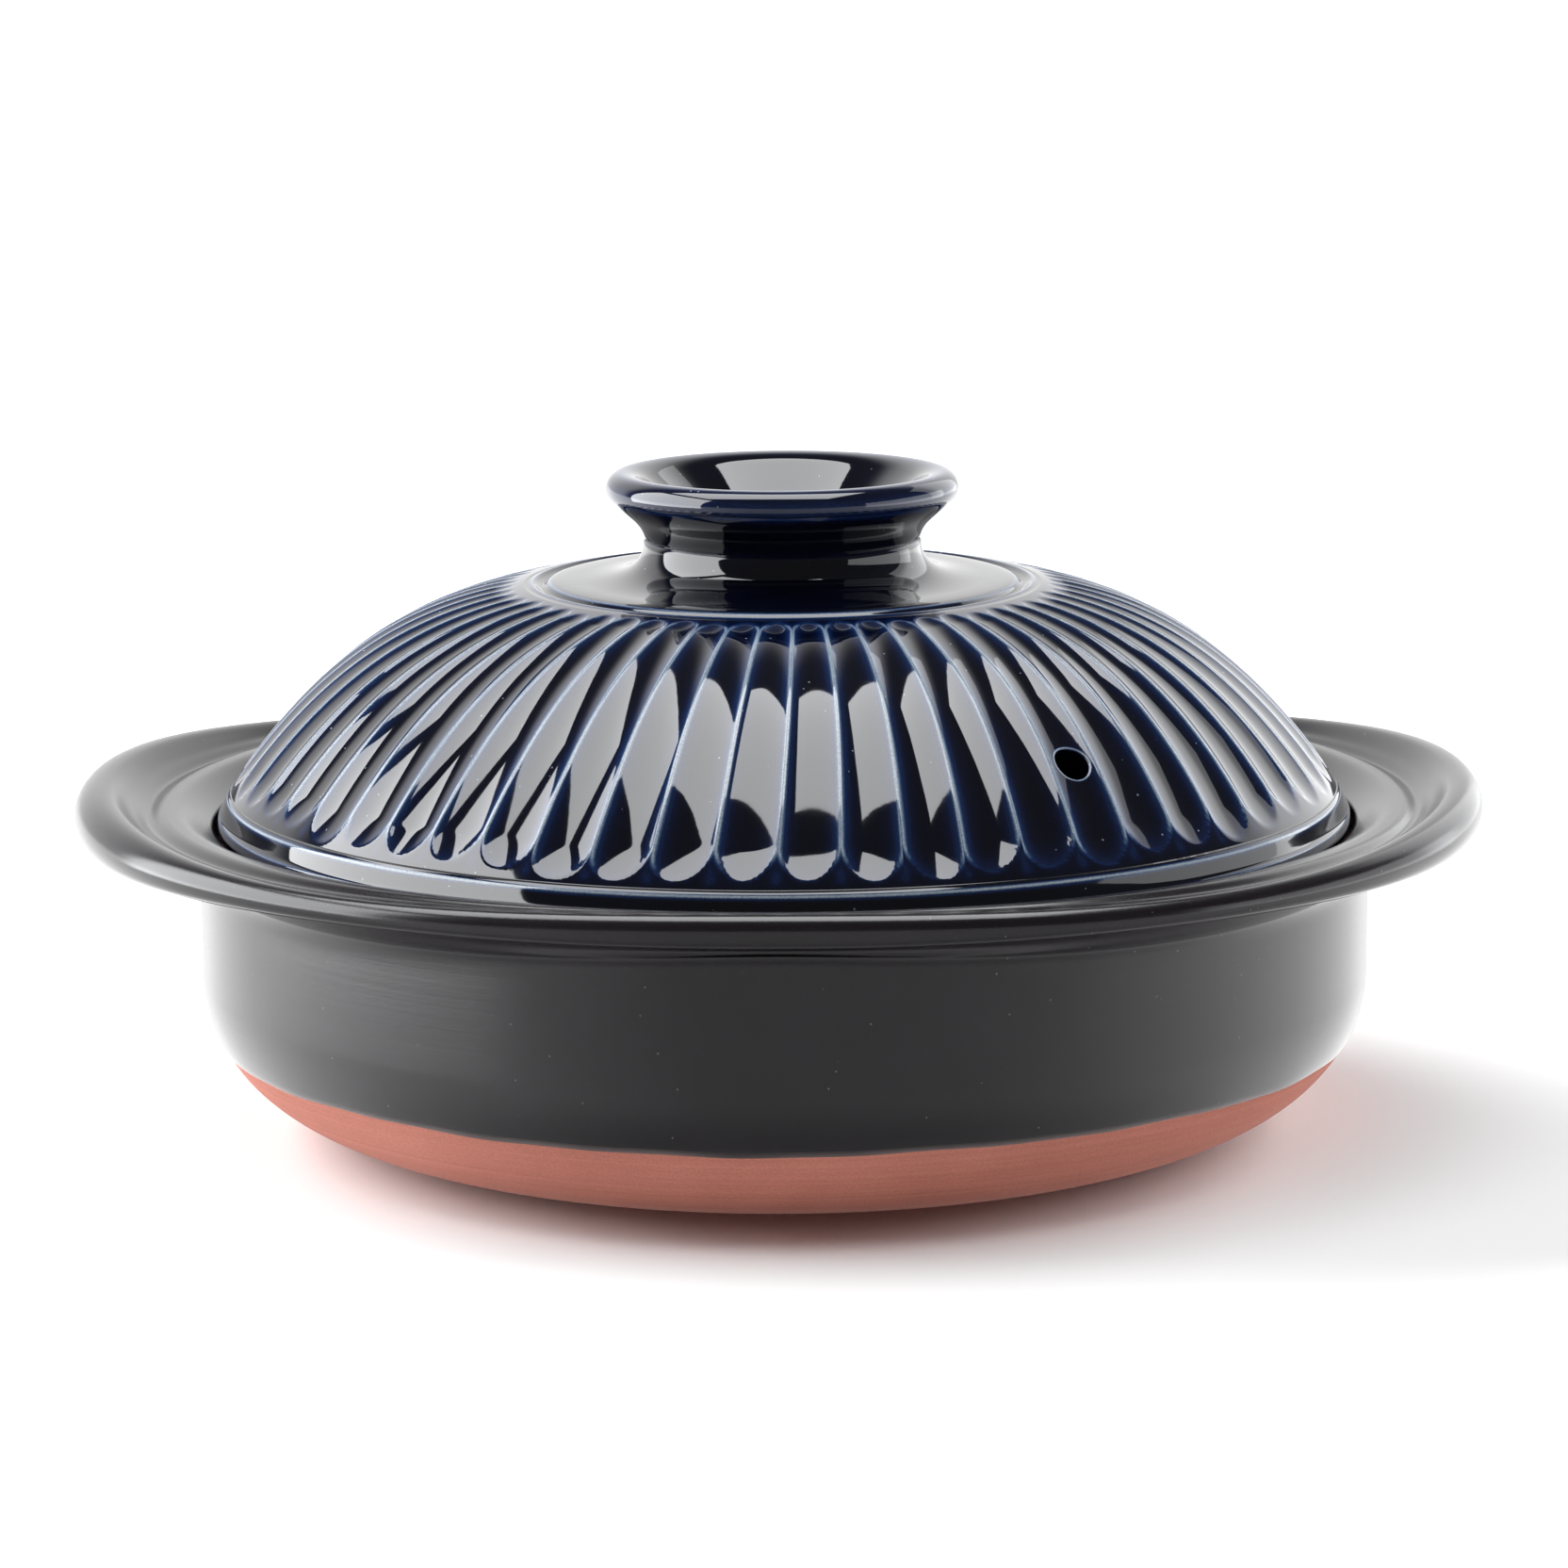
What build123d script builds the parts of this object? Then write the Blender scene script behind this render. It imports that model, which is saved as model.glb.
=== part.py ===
"""Clay cooking pot with two ears and a fluted lid. All lengths are in millimetres, +Z is up.

The pot stands on the ground plane z = 0, centred on the upright axis. Its ears point along X.
"""
from build123d import *
import os
from math import cos, pi, radians, sin

os.makedirs("parts", exist_ok=True)

# Bowl
bowl_radius = 132.4
rim_height = 73.5
wall_thickness = 8.0
floor_thickness = 6.5
belly_height = 35.8
belly_width = 48.4
foot_width = 12.0
foot_recess = 3.5
belly_share = 0.6

# Gallery that takes the lid
gallery_step = 1.8
gallery_depth = 10.5
ledge_width = 13.6
ledge_thickness = 5.0
ledge_slope_height = 8.0
lip_rounding = 1.5
lip_width = 3.2
ear_lip_width = 2.4

# Rim and ears, which share one outer edge
ear_length = 20.8
rim_overhang = 4.6
rim_edge_thickness = 3.6
rim_edge_drop = 2.7
left_ear_thickness = 8.0
right_ear_thickness = 5.8
ear_lift = 8.3
ear_lift_power = 2.4
ear_end_turn = 58.0
rim_root_depth = 4.5
ear_root_depth = 9.2
dish_depth = 4.2
edge_power = 2.2
ear_slice_count = 13
rim_slice_count = 9
root_curve_shares = (0.35, 0.45)
top_curve_shares = (0.22, 0.40)

# Glaze on the pot
glaze_thickness = 0.5
glaze_line_height = 22.0

# Lid
lid_clearance = 1.6
lid_crest_inset = 2.7
lid_crest_height = 12.9
lid_second_crest_inset = 0.8
lid_second_crest_drop = 2.0
lid_widest_height = 8.0
lid_seat_width = 6.0
lid_seat_inset = 4.2
lid_wall = 6.5
lid_skirt_depth = 6.0
dome_rise = 47.0
dome_inside_points = 9
ring_radius = 57.1
ring_width = 4.6
ring_groove_width = 2.8
ring_groove_depth = 0.7
plateau_rise = 0.9
dome_edge_shares = (0.30, 0.645)
dome_top_shares = (0.40, 0.08)

# Flutes on the lid
flute_count = 58
flute_top_gap = 3.6
flute_foot_gap = 1.5
flute_depth = 1.25
flute_twist = 2.8
flute_place_shares = (0.0, 0.04, 0.12, 0.3, 0.5, 0.7, 0.86, 0.95, 1.0)
flute_depth_shares = (0.0, 0.5, 0.85, 0.95, 1.0, 1.0, 1.0, 0.7, 0.0)
flute_ridge_shares = (0.8, 0.35, 0.14, 0.10, 0.08, 0.07, 0.07, 0.25, 0.8)

# Steam vent
vent_radius = 4.0
vent_inset = 17.4
vent_turn = 35.1

# Neck and knob
neck_radius = 31.4
neck_height = 9.0
neck_flare_radius = 49.0
neck_flare_share = 0.75
knob_height = 15.2
knob_bead = 3.7
knob_bead_radius = 36.2
knob_crease_radius = 39.0
knob_crease_height = 9.1
knob_cone_shares = (0.05, 0.45, 0.60)
knob_cup_radius = 18.0
knob_cup_depth = 11.0

# Cuts run past what they cut by this much
overrun = 6.0

# From the line of the ears to the front or back, in degrees
quarter_turn = 90

foot_radius = bowl_radius - belly_width
gallery_radius = bowl_radius - gallery_step
rim_reach = bowl_radius + rim_overhang
ear_reach = rim_reach + ear_length
seat_height = rim_height - gallery_depth
lid_radius = gallery_radius - lid_clearance
crest_radius = lid_radius - lid_crest_inset
crest_height = seat_height + lid_crest_height
ring_height = crest_height + dome_rise
plateau_radius = ring_radius - ring_width
plateau_height = ring_height + plateau_rise
neck_top = plateau_height + neck_height
knob_top = neck_top + knob_height
flute_top_radius = ring_radius + flute_top_gap
vent_place_radius = crest_radius - vent_inset


def at(radius, height):
    """Point in the upright half plane that the turned outlines are drawn in."""
    return Vector(radius, 0, height)


def turned(edges):
    """Turn a closed outline a full circle about the upright axis."""
    return revolve(make_face(edges), Axis.Z)


def outline_of(points):
    """Straight edges through the points, one after the other."""
    return [Line(start, end) for start, end in zip(points, points[1:])]


def block(low, high):
    """Box between two opposite corners."""
    size = [b - a for a, b in zip(low, high)]
    middle = [(a + b) / 2 for a, b in zip(low, high)]
    return Pos(*middle) * Box(*size)


def belly_curve(wide_radius, wide_height, low_radius, low_height):
    """Rounded turn from an upright wall into a level floor."""
    across = (wide_radius - low_radius) * belly_share
    down = (wide_height - low_height) * belly_share
    return Bezier(
        at(wide_radius, wide_height),
        at(wide_radius, wide_height - down),
        at(low_radius + across, low_height),
        at(low_radius, low_height),
    )


def turned_bowl(grow):
    """Outside of the bowl as a full solid up to its rim, grown by a coat of the given thickness."""
    radius = bowl_radius + grow
    edges = [
        Line(at(0, rim_height + grow), at(radius, rim_height + grow)),
        Line(at(radius, rim_height + grow), at(radius, belly_height)),
        belly_curve(radius, belly_height, foot_radius + grow, -grow),
        Line(at(foot_radius + grow, -grow), at(0, -grow)),
        Line(at(0, -grow), at(0, rim_height + grow)),
    ]
    return turned(edges)


def bowl_cavity(inset):
    """Air inside the bowl below the ledge, with its walls moved inwards by a coat."""
    radius = bowl_radius - wall_thickness - inset
    ledge_radius = gallery_radius - ledge_width - inset
    ledge_foot = seat_height - ledge_thickness
    floor_height = foot_recess + floor_thickness + inset
    floor_radius = foot_radius - foot_width
    slope_foot = ledge_foot - ledge_slope_height
    edges = [
        Line(at(0, seat_height), at(ledge_radius, seat_height)),
        Line(at(ledge_radius, seat_height), at(ledge_radius, ledge_foot)),
        Line(at(ledge_radius, ledge_foot), at(radius, slope_foot)),
        Line(at(radius, slope_foot), at(radius, belly_height)),
        belly_curve(radius, belly_height, floor_radius, floor_height),
        Line(at(floor_radius, floor_height), at(0, floor_height)),
        Line(at(0, floor_height), at(0, seat_height)),
    ]
    return turned(edges)


def gallery_cut():
    """Room for the lid above the ledge, with a rounded mouth."""
    mouth = rim_height - lip_rounding
    edges = [
        Line(at(0, seat_height), at(gallery_radius, seat_height)),
        Line(at(gallery_radius, seat_height), at(gallery_radius, mouth)),
        ThreePointArc(
            at(gallery_radius, mouth),
            at(gallery_radius + lip_rounding * (1 - cos(pi / 4)), mouth + lip_rounding * sin(pi / 4)),
            at(gallery_radius + lip_rounding, rim_height),
        ),
        Line(at(gallery_radius + lip_rounding, rim_height), at(gallery_radius + lip_rounding, rim_height + overrun)),
        Line(at(gallery_radius + lip_rounding, rim_height + overrun), at(0, rim_height + overrun)),
        Line(at(0, rim_height + overrun), at(0, seat_height)),
    ]
    return turned(edges)


def foot_cut():
    """Shallow recess inside the foot ring."""
    inner = foot_radius - foot_width
    slope = foot_recess
    edges = outline_of(
        [
            at(0, -overrun),
            at(inner, -overrun),
            at(inner, 0),
            at(inner - slope, foot_recess),
            at(0, foot_recess),
            at(0, -overrun),
        ]
    )
    return turned(edges)


def edge_reach(turn):
    """Distance from the axis to the shared edge of rim and ears, at an angle from +X in radians."""
    across = abs(cos(turn)) / ear_reach
    along = abs(sin(turn)) / rim_reach
    return (across**edge_power + along**edge_power) ** (-1 / edge_power)


def edge_section(angle, grow):
    """Upright slice through the rim or an ear, at an angle from +X in degrees."""
    reach = edge_reach(radians(angle))
    ear_share = (reach - rim_reach) / (ear_reach - rim_reach)
    lift = ear_lift * abs(reach * cos(radians(angle)) / ear_reach) ** ear_lift_power
    ear_thickness = left_ear_thickness if cos(radians(angle)) < 0 else right_ear_thickness
    thickness = rim_edge_thickness + (ear_thickness - rim_edge_thickness) * ear_share
    half = thickness / 2 + grow
    middle = rim_height - rim_edge_drop + lift - thickness / 2
    turn_radius = reach - half + grow
    inner = (bowl_radius + gallery_radius) / 2
    lip = at(gallery_radius + lip_width + ear_lip_width * ear_share, rim_height + grow)
    edge_top = at(turn_radius, middle + half)
    edge_low = at(turn_radius, middle - half)
    root_depth = rim_root_depth + (ear_root_depth - rim_root_depth) * ear_share
    root = at(inner, middle - half - root_depth)
    width = turn_radius - lip.X
    dish = dish_depth * ear_share
    under = turn_radius - root.X
    edges = [
        Line(at(inner, rim_height + grow), lip),
        Bezier(
            lip,
            at(lip.X + width * top_curve_shares[1], lip.Z - dish),
            at(turn_radius - width * top_curve_shares[0], edge_top.Z - dish * top_curve_shares[0]),
            edge_top,
        ),
        ThreePointArc(edge_top, at(reach + grow, middle), edge_low),
        Bezier(
            edge_low,
            at(turn_radius - under * root_curve_shares[0], edge_low.Z),
            at(root.X + under * root_curve_shares[1], root.Z + root_depth * root_curve_shares[1]),
            root,
        ),
        Line(root, at(inner, rim_height + grow)),
    ]
    return Rot(0, 0, angle) * Wire(edges)


def edge_stretch(middle_angle, half_angle, count, grow):
    """Solid stretch of the rim or an ear, through slices about its middle angle."""
    angles = [middle_angle + half_angle * (2 * step / (count - 1) - 1) for step in range(count)]
    return Solid.make_loft([edge_section(angle, grow) for angle in angles])


def ear(middle_angle):
    """One ear, luted to the clay of the bowl, with its coat on it."""
    return edge_stretch(middle_angle, ear_end_turn, ear_slice_count, glaze_thickness) - turned_bowl(0)


def front_and_back_rim(grow):
    """Stretches of the rim between the ears."""
    half = quarter_turn - ear_end_turn
    back = edge_stretch(quarter_turn, half, rim_slice_count, grow)
    front = edge_stretch(-quarter_turn, half, rim_slice_count, grow)
    return back + front


def dome_point(share):
    """Point on the lid's outer curve, from the crest at 0 to the ring at 1, and its outward normal."""
    poles = dome_poles()
    rest = 1 - share
    weights = (rest**3, 3 * rest**2 * share, 3 * rest * share**2, share**3)
    point = sum((pole * weight for pole, weight in zip(poles, weights)), Vector(0, 0, 0))
    slopes = (rest**2, 2 * rest * share, share**2)
    along = sum(((b - a) * slope for a, b, slope in zip(poles, poles[1:], slopes)), Vector(0, 0, 0))
    normal = Vector(along.Z, 0, -along.X).normalized()
    return point, normal


def share_at_radius(radius):
    """Place on the dome's curve where it has the given radius, found by halving."""
    low, high = 0.0, 1.0
    for _ in range(40):
        middle = (low + high) / 2
        if dome_point(middle)[0].X > radius:
            low = middle
        else:
            high = middle
    return (low + high) / 2


def dome_poles():
    """Four poles of the dome's outer curve, from the crest to the ring."""
    wide = crest_radius - ring_radius
    return [
        at(crest_radius, crest_height),
        at(crest_radius - wide * dome_edge_shares[0], crest_height + dome_rise * dome_edge_shares[1]),
        at(ring_radius + wide * dome_top_shares[0], ring_height - dome_rise * dome_top_shares[1]),
        at(ring_radius, ring_height),
    ]


def dome_stretch(low, high):
    """Curve along the dome between two places on it."""
    count = 4
    return Spline([dome_point(low + (high - low) * step / count)[0] for step in range(count + 1)])


def lid_foot():
    """Solid foot of the lid: seat ring, two crests and the plain band below the flutes."""
    second = at(lid_radius - lid_second_crest_inset, crest_height - lid_second_crest_drop)
    widest = at(lid_radius, seat_height + lid_widest_height)
    seat = at(lid_radius - lid_seat_inset, seat_height)
    crest = at(crest_radius, crest_height)
    foot_share = share_at_radius(crest_radius - flute_foot_gap)
    top = dome_point(foot_share)[0]
    edges = [
        dome_stretch(foot_share, 0),
        Line(crest, second),
        Spline([second, widest, seat]),
        Line(seat, at(0, seat.Z)),
        Line(at(0, seat.Z), at(0, top.Z)),
        Line(at(0, top.Z), top),
    ]
    return turned(edges)


def lid_crown():
    """Solid top of the lid: plain band above the flutes, double ring, plateau and lower neck."""
    top_share = share_at_radius(flute_top_radius)
    foot = dome_point(top_share)[0]
    ring = at(ring_radius, ring_height)
    groove_outer = ring_radius - (ring_width - ring_groove_width) / 2
    groove_inner = groove_outer - ring_groove_width
    groove_middle = (groove_outer + groove_inner) / 2
    flare = neck_flare_radius - neck_radius
    edges = [
        Line(at(0, foot.Z), at(0, neck_top)),
        Line(at(0, neck_top), at(neck_radius, neck_top)),
        Bezier(
            at(neck_radius, neck_top),
            at(neck_radius, neck_top - neck_height * neck_flare_share),
            at(neck_flare_radius - flare * neck_flare_share, plateau_height),
            at(neck_flare_radius, plateau_height),
        ),
        Line(at(neck_flare_radius, plateau_height), at(plateau_radius, ring_height)),
        Line(at(plateau_radius, ring_height), at(groove_inner, ring_height)),
        ThreePointArc(
            at(groove_inner, ring_height),
            at(groove_middle, ring_height - ring_groove_depth),
            at(groove_outer, ring_height),
        ),
        Line(at(groove_outer, ring_height), ring),
        dome_stretch(1, top_share),
        Line(foot, at(0, foot.Z)),
    ]
    return turned(edges)


def lid_inside():
    """Air under the dome, one wall inside its outer curve."""
    seat_inner = lid_radius - lid_seat_inset - lid_seat_width
    inside = []
    for step in range(dome_inside_points):
        point, normal = dome_point(step / (dome_inside_points - 1))
        inside.append(point - normal * lid_wall)
    ceiling = inside[-1].Z
    edges = [
        Line(at(0, seat_height - overrun), at(seat_inner, seat_height - overrun)),
        Line(at(seat_inner, seat_height - overrun), at(seat_inner, seat_height + lid_skirt_depth)),
        Line(at(seat_inner, seat_height + lid_skirt_depth), inside[0]),
        Spline(inside),
        Line(inside[-1], at(0, ceiling)),
        Line(at(0, ceiling), at(0, seat_height - overrun)),
    ]
    return turned(edges)


def flute_ring(place, depth_share, ridge_share):
    """Closed ring around the dome: a short arc on each ridge and a hollow arc in each flute.

    Place runs from 0 at the top of the flutes, which lean over by the twist, to 1 at their feet.
    """
    low = share_at_radius(crest_radius - flute_foot_gap)
    high = share_at_radius(flute_top_radius)
    point, normal = dome_point(high + (low - high) * place)
    deep = point - normal * (flute_depth * depth_share)
    pitch = 360 / flute_count
    half = pitch * ridge_share / 2
    edges = []
    for step in range(flute_count):
        turn = pitch * step - quarter_turn + flute_twist * (1 - place)
        ridge = [point.rotate(Axis.Z, turn + shift) for shift in (-half, 0, half)]
        hollow_end = point.rotate(Axis.Z, turn + pitch - half)
        edges.append(ThreePointArc(*ridge))
        edges.append(ThreePointArc(ridge[-1], deep.rotate(Axis.Z, turn + pitch / 2), hollow_end))
    return Wire(edges)


def fluted_dome():
    """Solid middle of the dome, with its flutes."""
    shares = zip(flute_place_shares, flute_depth_shares, flute_ridge_shares)
    return Solid.make_loft([flute_ring(*row) for row in shares])


def lid_shell():
    """Lid with its flutes and vent."""
    lid = lid_foot() + fluted_dome() + lid_crown() - lid_inside()
    point, normal = dome_point(share_at_radius(vent_place_radius))
    bore = Plane(origin=point, x_dir=Vector(0, 1, 0), z_dir=normal) * Cylinder(vent_radius, 4 * lid_wall)
    return lid - Rot(0, 0, vent_turn - quarter_turn) * bore


def lid_knob():
    """Ring-shaped grip with a rounded bead and an open cup, luted on the neck."""
    bead_height = knob_top - knob_bead
    cup_mouth = knob_bead_radius - knob_bead
    cup_floor = knob_top - knob_cup_depth
    crease = at(knob_crease_radius, neck_top + knob_crease_height)
    spread = crease.X - neck_radius
    near, far, lift = knob_cone_shares
    edges = [
        Line(at(0, neck_top), at(neck_radius, neck_top)),
        Bezier(
            at(neck_radius, neck_top),
            at(neck_radius + spread * near, neck_top + knob_crease_height * far),
            at(neck_radius + spread * lift, neck_top + knob_crease_height * lift),
            crease,
        ),
        ThreePointArc(crease, at(knob_bead_radius + knob_bead, bead_height), at(knob_bead_radius, knob_top)),
        ThreePointArc(
            at(knob_bead_radius, knob_top),
            at(knob_bead_radius - knob_bead * sin(pi / 4), bead_height + knob_bead * cos(pi / 4)),
            at(cup_mouth, bead_height),
        ),
        Bezier(
            at(cup_mouth, bead_height),
            at(cup_mouth, cup_floor),
            at(knob_cup_radius, cup_floor),
            at(0, cup_floor),
        ),
        Line(at(0, cup_floor), at(0, neck_top)),
    ]
    return turned(edges)


handle_right = ear(0)
handle_left = ear(180)
hollow = gallery_cut() + bowl_cavity(0)
clay_outside = turned_bowl(0) + front_and_back_rim(0)
pot_body = clay_outside - hollow - foot_cut()

reach = ear_reach + overrun
above_glaze_line = block((-reach, -reach, glaze_line_height), (reach, reach, knob_top))
pot_glaze = turned_bowl(glaze_thickness) + front_and_back_rim(glaze_thickness)
pot_glaze = (pot_glaze & above_glaze_line) - clay_outside
pot_glaze = pot_glaze - handle_right - handle_left - gallery_cut()
pot_glaze_inside = bowl_cavity(0) - bowl_cavity(glaze_thickness)

nodes = {
    "pot_body": pot_body,
    "pot_glaze": pot_glaze,
    "pot_glaze_inside": pot_glaze_inside,
    "handle_left": handle_left,
    "handle_right": handle_right,
    "lid_shell": lid_shell(),
    "lid_knob": lid_knob(),
}
for name, solid in nodes.items():
    export_step(solid, f"parts/{name}.step")
    print(name, round(solid.volume), [round(value, 2) for value in solid.bounding_box().size])
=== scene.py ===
from math import atan2, cos, pi, radians, sin, tan

import bmesh
import bpy
import numpy as np
from mathutils import Matrix, Vector


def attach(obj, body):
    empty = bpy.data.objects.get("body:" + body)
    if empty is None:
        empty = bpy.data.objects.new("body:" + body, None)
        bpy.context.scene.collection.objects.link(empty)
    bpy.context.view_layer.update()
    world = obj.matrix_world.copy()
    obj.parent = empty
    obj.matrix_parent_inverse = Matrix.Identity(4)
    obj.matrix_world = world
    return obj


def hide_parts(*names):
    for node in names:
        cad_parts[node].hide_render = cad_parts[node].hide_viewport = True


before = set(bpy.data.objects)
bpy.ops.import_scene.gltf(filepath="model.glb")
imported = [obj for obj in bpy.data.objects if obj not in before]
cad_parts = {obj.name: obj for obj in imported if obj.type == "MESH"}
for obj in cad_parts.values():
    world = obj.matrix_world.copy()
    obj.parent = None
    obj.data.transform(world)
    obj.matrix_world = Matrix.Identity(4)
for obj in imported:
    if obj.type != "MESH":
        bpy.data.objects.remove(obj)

# Sizes of the pot are in millimetres, as in the CAD source, and its meshes are scaled to metres.
MM = 0.001

# Bowl
bowl_radius = 132.4
rim_height = 73.5
wall_thickness = 8.0
floor_thickness = 6.5
belly_height = 35.8
foot_radius = 84.0
foot_width = 12.0
foot_recess = 3.5
belly_share = 0.6
foot_rounding = 1.2

# Gallery that takes the lid
gallery_radius = 130.6
gallery_depth = 10.5
ledge_width = 13.6
ledge_thickness = 5.0
ledge_slope_height = 8.0
lip_rounding = 2.0
lip_width = 3.2
ear_lip_width = 6.6
ear_mouth_width = 5.8
ear_mouth_drop = 2.8
ear_mouth_reach = 1.35

# Rim and ears
left_ear_reach = 160.0
right_ear_reach = 157.6
rim_reach = 137.0
rim_edge_thickness = 3.6
rim_edge_drop = 2.7
left_ear_thickness = 10.6
right_ear_thickness = 9.4
ear_thickness_power = 3.0
ear_lift = 8.3
ear_lift_power = 2.4
rim_root_depth = 5.0
left_ear_root = 15.6
right_ear_root = 15.8
rim_roll = 3.3
rim_under_rounding = 2.0
dish_depth = 2.0
dish_curve_shares = (0.36, 0.34)
ear_groove_depth = 0.8
ear_groove_place = 0.26
ear_groove_width = 0.15
ear_ridge_height = 0.35
ear_ridge_place = 0.50
ear_ridge_width = 0.14
edge_power = 2.2
root_curve_shares = (0.35, 0.45)
bead_start = radians(88)
ear_bead_start = radians(106)
root_rounding = 1.2
ear_root_rounding = 3.2
root_drop_share = 1.4

# Glaze on the pot. Waves of the glaze line are (waves in one turn, share, start).
glaze_thickness = 0.5
glaze_line_height = 22.0
glaze_line_wobble = 0.22
glaze_line_waves = ((5, 1.0, 0.6), (13, 0.6, 0.0), (29, 0.4, 2.1))
glaze_line_width = 0.45
glaze_line_share = 0.9
glaze_sink = 1.4
glazed_top = rim_height + glaze_thickness
glazed_wall = bowl_radius + glaze_thickness

# Lid
lid_radius = 129.0
lid_widest_height = 69.4
crest_radius = 126.3
crest_height = 75.9
second_crest = (128.3, 71.6)
seat_height = rim_height - gallery_depth
seat_radius = 124.8
seat_inner_radius = 118.8
lid_wall = 6.5
lid_skirt_depth = 6.0
dome_rise = 47.0
ring_radius = 57.1
ring_height = crest_height + dome_rise
plateau_radius = 52.5
plateau_height = ring_height + 0.9
dome_edge_shares = (0.30, 0.645)
dome_top_shares = (0.40, 0.08)

# Flutes on the lid. The columns are places across one flute, closer together at the ridges.
flute_count = 58
flute_top_radius = 60.7
flute_foot_gap = 1.5
flute_depth = 1.08
flute_top_depth = 0.75
flute_ridge = 0.22
flute_twist = radians(2.8)
flute_foot_length = 8.0
flute_top_length = 5.0
flute_columns = (0, 0.02, 0.05, 0.09, 0.15, 0.22, 0.3, 0.4, 0.5, 0.6, 0.7, 0.78, 0.85, 0.91, 0.95, 0.98)
flute_pitch = 2 * pi / flute_count
flute_roundness = 2.2
flute_rise_length = 30.0

# Pale lines that the thin glaze leaves on the ridges between flutes, and the soft halo beside them
line_share = 0.66
line_width_inside = 0.36
line_width_outside = 0.50
halo_share = 0.34
halo_width = 2.3
pad_share = 0.24

# Steam vent
vent_radius = 4.0
vent_lip = 0.35
vent_place_radius = 108.9
vent_turn = radians(35.1 - 90)
vent_edge_width = 0.25
vent_edge_share = 0.95

# Neck and knob
neck_radius = 31.4
neck_height = 9.0
neck_top = plateau_height + neck_height
neck_flare_radius = 49.0
neck_flare_share = 0.75
knob_height = 15.2
knob_top = neck_top + knob_height
knob_bead = 3.7
knob_bead_radius = 36.2
knob_crease = (39.0, 141.9)
knob_under_poles = ((31.8, 136.8), (35.9, 138.2))
knob_mouth_rounding = 8.6
knob_slope = radians(40)
knob_slope_foot = 23.5
knob_cup_radius = 14.0
knob_cup_depth = 11.5

# Points round each piece
clay_columns = 288
inside_columns = 240
outside_columns = 420
knob_columns = 300

# Camera at the photograph's place, in metres and in degrees of azimuth, elevation and roll
camera_target = (0.00004, 0.0, 0.0759)
camera_distance = 1.250
camera_angles = (0.9, 10.57, -0.33)
sensor_width = 36.0
focal_pixels = 5812
photo_pixels = 1664

# Softboxes in metres: name, centre, target, width, height and radiance
softbox_colour = (0.97, 0.985, 1.0)
softboxes = (
    ("above", (-0.17, -0.04, 1.1), (-0.17, -0.04, 0.0), 1.18, 0.76, 7.3),
    ("left", (-1.30, -0.22, 0.67), (0.0, -0.22, 0.67), 1.55, 1.65, 8.2),
    ("right", (1.00, 0.07, 0.18), (0.0, 0.07, 0.18), 1.5, 0.48, 1.9),
    ("right_behind", (0.80, 0.80, 0.55), (0.0, 0.0, 0.55), 0.9, 1.1, 1.2),
)

# Far lights: name, direction towards the light, degrees across and strength
far_lights = (
    ("far_left", (-0.83, 0.44, 0.34), 60, 8.5),
    ("far_right", (0.83, 0.44, 0.34), 60, 4.3),
    ("far_above", (0.0, -0.15, 1.0), 50, 1.3),
)
surroundings_strength = 0.06

# Finish of each piece, by the record's material slots
CLAY = "bare_clay"
BLACK = "black_glaze"
BLUE = "blue_glaze"


def bezier(poles, count):
    """Points on the cubic curve with these four poles. Poles may hold one place for each section."""
    first, second, third, last = (np.asarray(pole, float) for pole in poles)
    share = np.linspace(0, 1, count).reshape(-1, *[1] * first.ndim)
    rest = 1 - share
    return first * rest**3 + 3 * second * rest**2 * share + 3 * third * rest * share**2 + last * share**3


def rounded(corners, steps=5):
    """Path through (radius, height, rounding) corners, each rounded by its own distance."""
    path = []
    for index, (radius, height, rounding) in enumerate(corners):
        here = np.array([radius, height], float)
        if rounding == 0 or index in (0, len(corners) - 1):
            path.append(here)
            continue
        before = np.array(corners[index - 1][:2], float) - here
        after = np.array(corners[index + 1][:2], float) - here
        start = here + before * rounding / np.linalg.norm(before)
        end = here + after * rounding / np.linalg.norm(after)
        for step in range(steps + 1):
            share = step / steps
            path.append(start * (1 - share) ** 2 + 2 * here * share * (1 - share) + end * share**2)
    return np.array(path)


def joined(*paths):
    """One path from several, without the points that repeat where they meet."""
    points = np.concatenate([np.atleast_2d(path) for path in paths])
    gaps = np.linalg.norm(np.diff(points, axis=0), axis=1)
    return points[np.concatenate([[True], gaps > 1e-6])]


def glow(points, edges):
    """How thin the glaze is at each point of a path, most on an edge and less beside it.

    Edges are (radius, height, width, share).
    """
    thin = np.zeros(len(points))
    for radius, height, width, share in edges:
        distance = np.hypot(points[:, 0] - radius, points[:, 1] - height)
        thin = np.maximum(thin, share * np.exp(-((distance / width) ** 2)))
    return thin


def smooth_step(value):
    """0 below 0, 1 above 1, and a soft rise between them."""
    value = np.clip(value, 0, 1)
    return value * value * (3 - 2 * value)


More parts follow.
